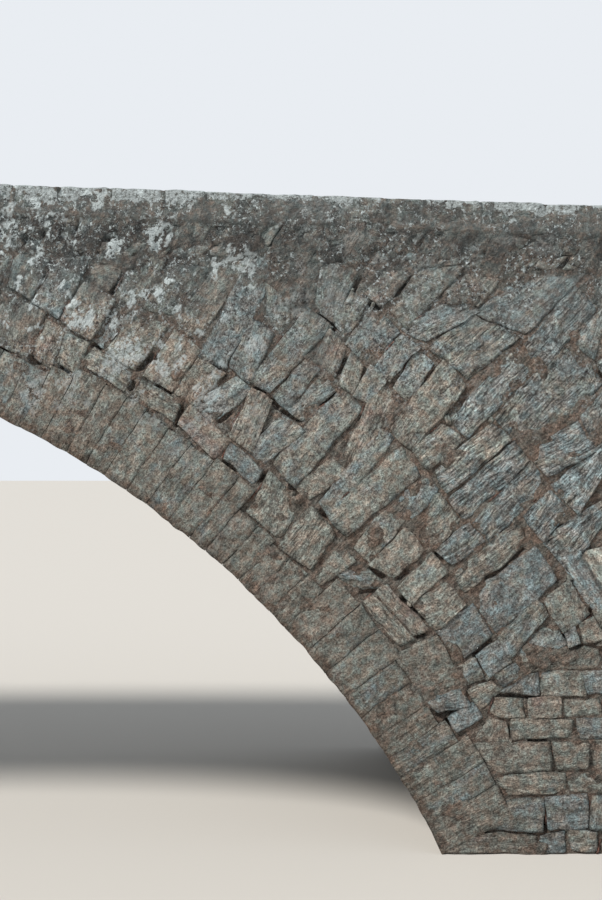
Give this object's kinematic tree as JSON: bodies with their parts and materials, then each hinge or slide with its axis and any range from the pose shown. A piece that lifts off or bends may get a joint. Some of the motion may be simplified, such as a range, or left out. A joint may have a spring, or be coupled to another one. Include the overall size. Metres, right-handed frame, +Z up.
{
  "type": "stone arch bridge",
  "caption": "Old single-span stone bridge: a segmental arch of long voussoirs, rubble walls and solid stone parapets over a low humped road.",
  "frame": {"origin": "on the centre line under the crown of the arch, at the water line", "axes": "+X along the road, +Y across it away from the near face, +Z up"},
  "size_m": [26, 4.62, 6.8308],
  "materials": {
    "dressed_stone": "weathered, tooled",
    "vault_stone": "weathered, stained",
    "rubble_stone": "weathered, rough",
    "parapet_stone": "weathered, lichened",
    "coping_stone": "weathered, lichened",
    "rubble_fill": "rough",
    "road_metal": "worn, gritty"
  },
  "bodies": {
    "root": {"ring_near_crown": "dressed_stone", "ring_near_left_haunch": "dressed_stone", "ring_near_right_haunch": "dressed_stone", "ring_near_left_foot": "dressed_stone", "ring_near_right_foot": "dressed_stone", "ring_far_crown": "dressed_stone", "ring_far_left_haunch": "dressed_stone", "ring_far_right_haunch": "dressed_stone", "ring_far_left_foot": "dressed_stone", "ring_far_right_foot": "dressed_stone", "barrel_crown": "vault_stone", "barrel_left_shoulder": "vault_stone", "barrel_right_shoulder": "vault_stone", "barrel_left_haunch": "vault_stone", "barrel_right_haunch": "vault_stone", "barrel_left_foot": "vault_stone", "barrel_right_foot": "vault_stone", "spandrel_near_left": "rubble_stone", "spandrel_near_right": "rubble_stone", "spandrel_far_left": "rubble_stone", "spandrel_far_right": "rubble_stone", "wing_near_left": "rubble_stone", "wing_near_right": "rubble_stone", "wing_far_left": "rubble_stone", "wing_far_right": "rubble_stone", "haunch_fill_left": "rubble_fill", "haunch_fill_right": "rubble_fill", "abutment_left": "rubble_fill", "abutment_right": "rubble_fill", "road_left": "road_metal", "road_right": "road_metal", "parapet_near_left": "parapet_stone", "parapet_near_right": "parapet_stone", "parapet_far_left": "parapet_stone", "parapet_far_right": "parapet_stone", "coping_near_left": "coping_stone", "coping_near_right": "coping_stone", "coping_far_left": "coping_stone", "coping_far_right": "coping_stone"}
  },
  "joints": []
}
